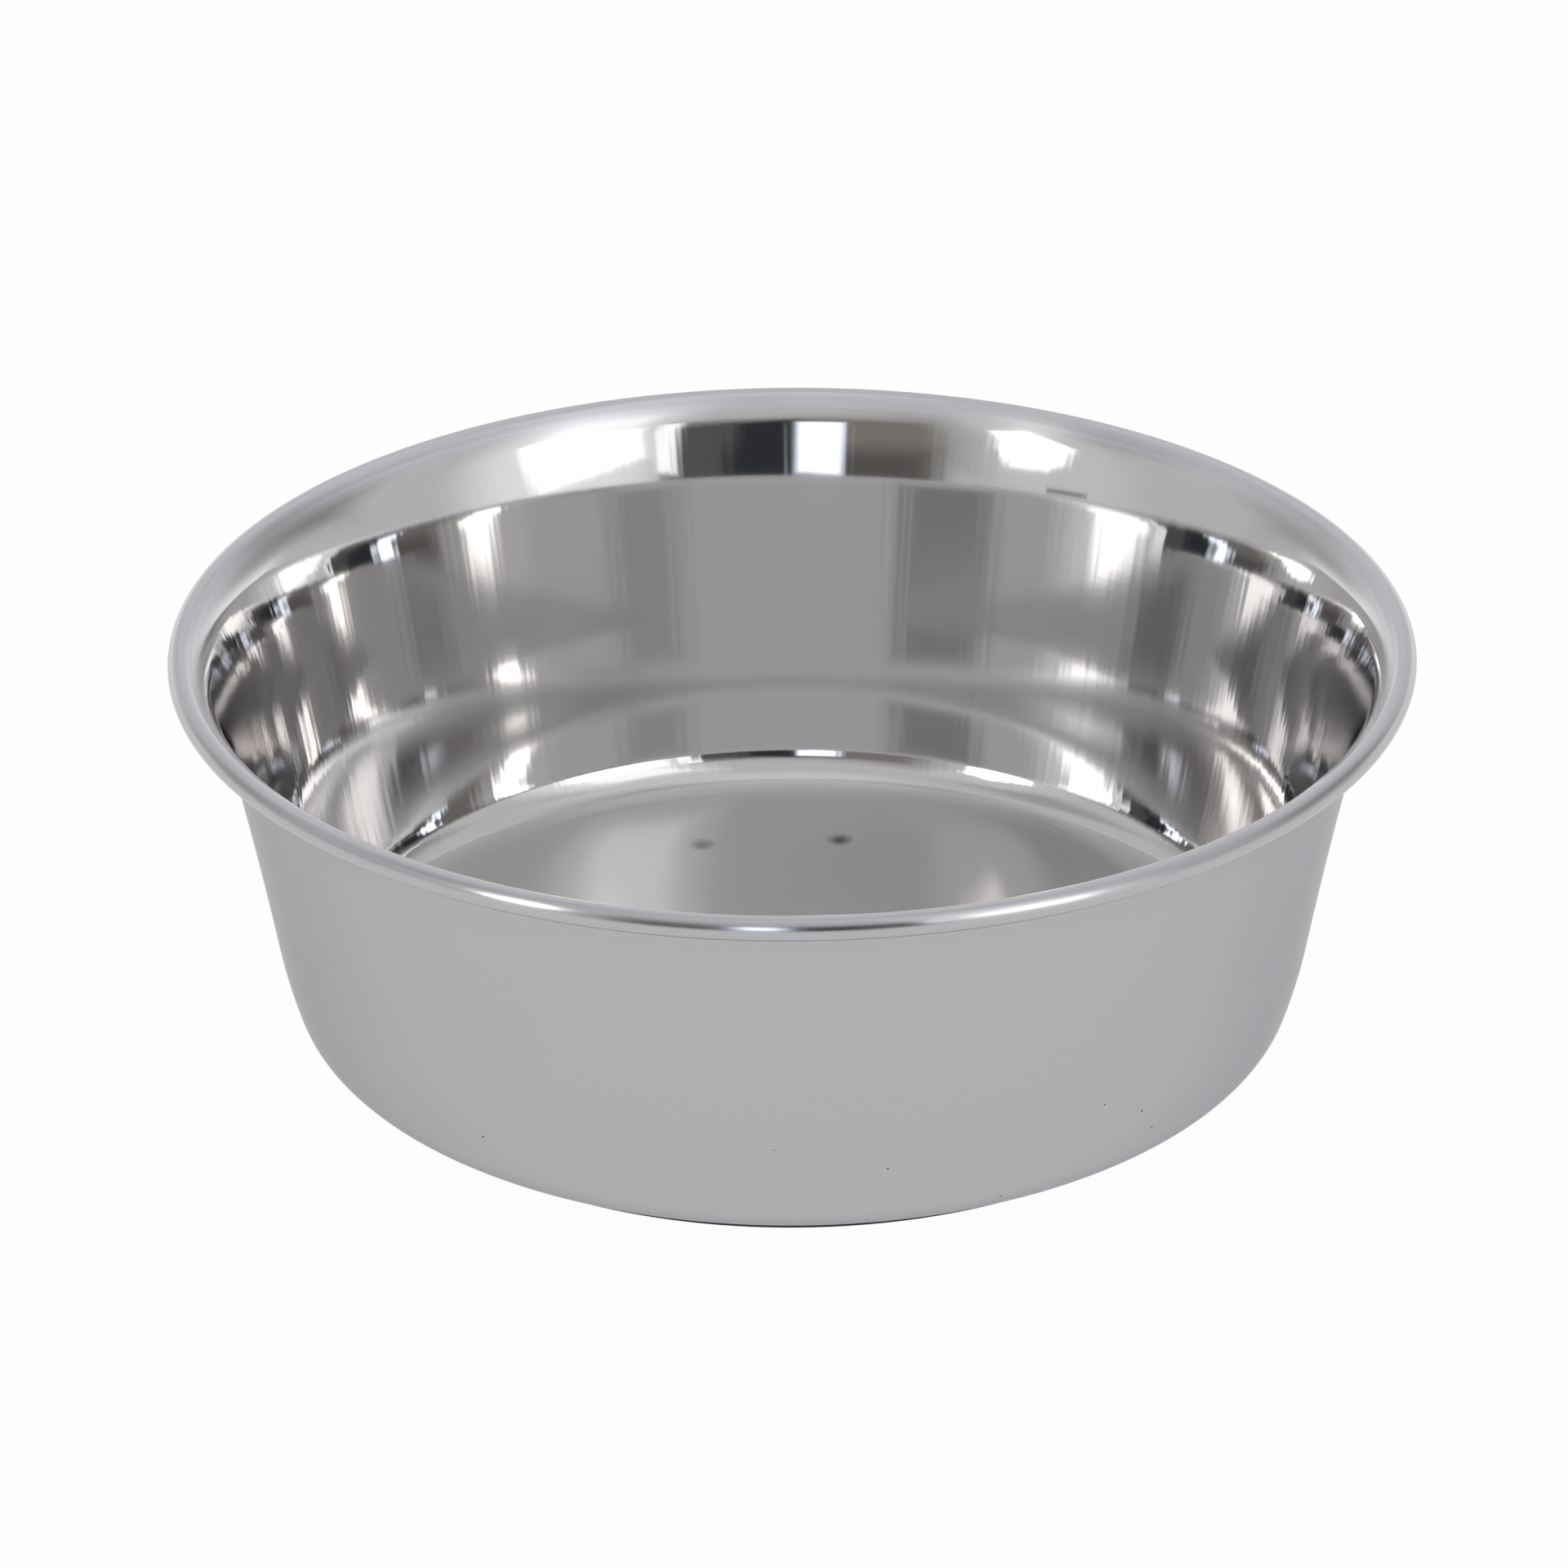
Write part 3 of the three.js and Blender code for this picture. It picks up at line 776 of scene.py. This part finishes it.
def room_world():
    """White for the camera; for reflected light and for lighting, the room with its lamps and dark side."""
    world = bpy.data.worlds.new("studio room")
    tree = empty_tree(world)
    way = add(tree, "ShaderNodeSeparateXYZ", {0: add(tree, "ShaderNodeTexCoord").outputs["Generated"]})
    toward = add(tree, "ShaderNodeMath", {0: way.outputs[1], 1: -1.0}, operation="MULTIPLY")
    around = add(tree, "ShaderNodeMath", {0: way.outputs[0], 1: toward.outputs[0]}, operation="ARCTAN2")
    above = add(tree, "ShaderNodeMath", {0: way.outputs[2]}, operation="ARCSINE")
    in_degrees = [add(tree, "ShaderNodeMath", {0: angle.outputs[0]}, operation="DEGREES").outputs[0]
                  for angle in (around, above)]
    direction = add(tree, "ShaderNodeCombineXYZ", {0: in_degrees[0], 1: in_degrees[1], 2: 1.0}).outputs[0]

    def inside(corners, soft):
        """1 inside the patch and 0 outside: the least distance in from any side, smoothed over the edge."""
        least = None
        for (x, y), (next_x, next_y) in zip(corners, corners[1:] + corners[:1]):
            length = np.hypot(next_x - x, next_y - y)
            inward = np.array([y - next_y, next_x - x]) / length
            side = (*inward, -inward @ (x, y))
            depth = add(tree, "ShaderNodeVectorMath", {0: direction, 1: side}, operation="DOT_PRODUCT")
            depth = depth.outputs["Value"]
            if least is not None:
                depth = add(tree, "ShaderNodeMath", {0: least, 1: depth}, operation="MINIMUM").outputs[0]
            least = depth
        return add(tree, "ShaderNodeMapRange", {"Value": least, "From Min": -soft / 2, "From Max": soft / 2},
                   interpolation_type="SMOOTHSTEP").outputs[0]

    colour = linear(ROOM_GREY)
    for hex_code, strength, soft, corners in ROOM_PATCHES:
        bright = (*[strength * part for part in linear(hex_code)[:3]], 1.0)
        colour = add(tree, "ShaderNodeMix", {"Factor": inside(corners, soft), "A": colour, "B": bright},
                     data_type="RGBA").outputs["Result"]
    seen = add(tree, "ShaderNodeLightPath").outputs["Is Camera Ray"]
    shown = add(tree, "ShaderNodeMix", {"Factor": seen, "A": colour, "B": linear(WHITE)}, data_type="RGBA")
    light = add(tree, "ShaderNodeBackground", {"Color": shown.outputs["Result"], "Strength": 1.0})
    add(tree, "ShaderNodeOutputWorld", {"Surface": light.outputs[0]})
    return world


scene.world = room_world()
scene.cycles.max_bounces = MIRROR_BOUNCES
scene.cycles.glossy_bounces = MIRROR_BOUNCES
print(f"room: {len(ROOM_PATCHES)} patches, {MIRROR_BOUNCES} bounces")

# %% [markdown]
# The floor
#
# The bowl stands on a wide white table. To the camera and in the steel it shows mostly as plain white, so
# that the ground of the picture is white without more light, and for the rest as a lit surface, which
# keeps the bowl's shadow.

# %% Floor
FLOOR_HALF = 3.0
FLOOR_DROP = 0.05 * MM
FLOOR_WHITE = "#F6F6F6"
PLAIN_SEEN, PLAIN_MIRRORED = 0.97, 0.6


def white_floor():
    """A large flat sheet, a hair under the rubber so that their faces don't coincide."""
    x, y = np.meshgrid([-FLOOR_HALF, FLOOR_HALF], [-FLOOR_HALF, FLOOR_HALF])
    points = np.column_stack([x.ravel(), y.ravel(), np.full(x.size, -FLOOR_DROP)])
    mesh = bpy.data.meshes.new("floor")
    mesh.from_pydata(points.tolist(), [], [[0, 1, 3, 2]])
    floor = bpy.data.objects.new("floor", mesh)
    scene.collection.objects.link(floor)
    material = bpy.data.materials.new("white table top")
    tree = empty_tree(material)
    lit = add(tree, "ShaderNodeBsdfDiffuse", {"Color": linear(FLOOR_WHITE)})
    plain = add(tree, "ShaderNodeEmission", {"Color": linear(WHITE), "Strength": 1.0})
    ray = add(tree, "ShaderNodeLightPath")
    seen = add(tree, "ShaderNodeMath", {0: ray.outputs["Is Camera Ray"], 1: PLAIN_SEEN}, operation="MULTIPLY")
    share = add(tree, "ShaderNodeMath", {0: ray.outputs["Is Glossy Ray"], 1: PLAIN_MIRRORED,
                                         2: seen.outputs[0]}, operation="MULTIPLY_ADD")
    mixed = add(tree, "ShaderNodeMixShader", {0: share.outputs[0], 1: lit.outputs[0], 2: plain.outputs[0]})
    add(tree, "ShaderNodeOutputMaterial", {"Surface": mixed.outputs[0]})
    mesh.materials.append(material)
    return floor


white_floor()

# %% [markdown]
# The camera
#
# The photograph was taken with a long lens from about thirteen rim radii away and twenty-five degrees up. The
# rim's middle falls at a known pixel of its square frame, so the camera is first aimed straight at the rim's
# middle and then turned a little, up and sideways, until that point moves to its pixel.

# %% Camera
FRAME_SIDE = 1920
SENSOR = 36.0
LENS = 186.1
CAMERA_DISTANCE = 13 * RIM_RADIUS
CAMERA_RISE = np.radians(25.47)
CAMERA_ROLL = -0.0043
CAMERA_REACH = 20
RIM_PIXEL = (970.6, 777.6)


def photo_camera():
    """Aim at the rim's middle, then pitch and yaw it to its pixel, then roll."""
    focal = LENS / SENSOR * FRAME_SIDE
    pitch = np.arctan((FRAME_SIDE / 2 - RIM_PIXEL[1]) / focal)
    yaw = np.arctan((RIM_PIXEL[0] - FRAME_SIDE / 2) / focal)
    look = Vector((0, np.cos(CAMERA_RISE), -np.sin(CAMERA_RISE)))
    up = Vector((0, np.sin(CAMERA_RISE), np.cos(CAMERA_RISE)))
    right = Vector((1, 0, 0))
    place = Vector((0, 0, RIM_TOP)) - CAMERA_DISTANCE * look
    look, up = np.cos(pitch) * look - np.sin(pitch) * up, np.cos(pitch) * up + np.sin(pitch) * look
    right, look = np.cos(yaw) * right + np.sin(yaw) * look, np.cos(yaw) * look - np.sin(yaw) * right
    right, up = (np.cos(CAMERA_ROLL) * right + np.sin(CAMERA_ROLL) * up,
                 np.cos(CAMERA_ROLL) * up - np.sin(CAMERA_ROLL) * right)
    data = bpy.data.cameras.new("photo camera")
    data.lens, data.sensor_width = LENS, SENSOR
    data.clip_end = CAMERA_REACH
    camera = bpy.data.objects.new("photo camera", data)
    scene.collection.objects.link(camera)
    turn = Matrix((right, up, -look)).transposed().to_4x4()
    camera.matrix_world = Matrix.Translation(place) @ turn
    return camera


scene.camera = photo_camera()
print("camera at, m:", [round(side, 3) for side in scene.camera.matrix_world.translation])
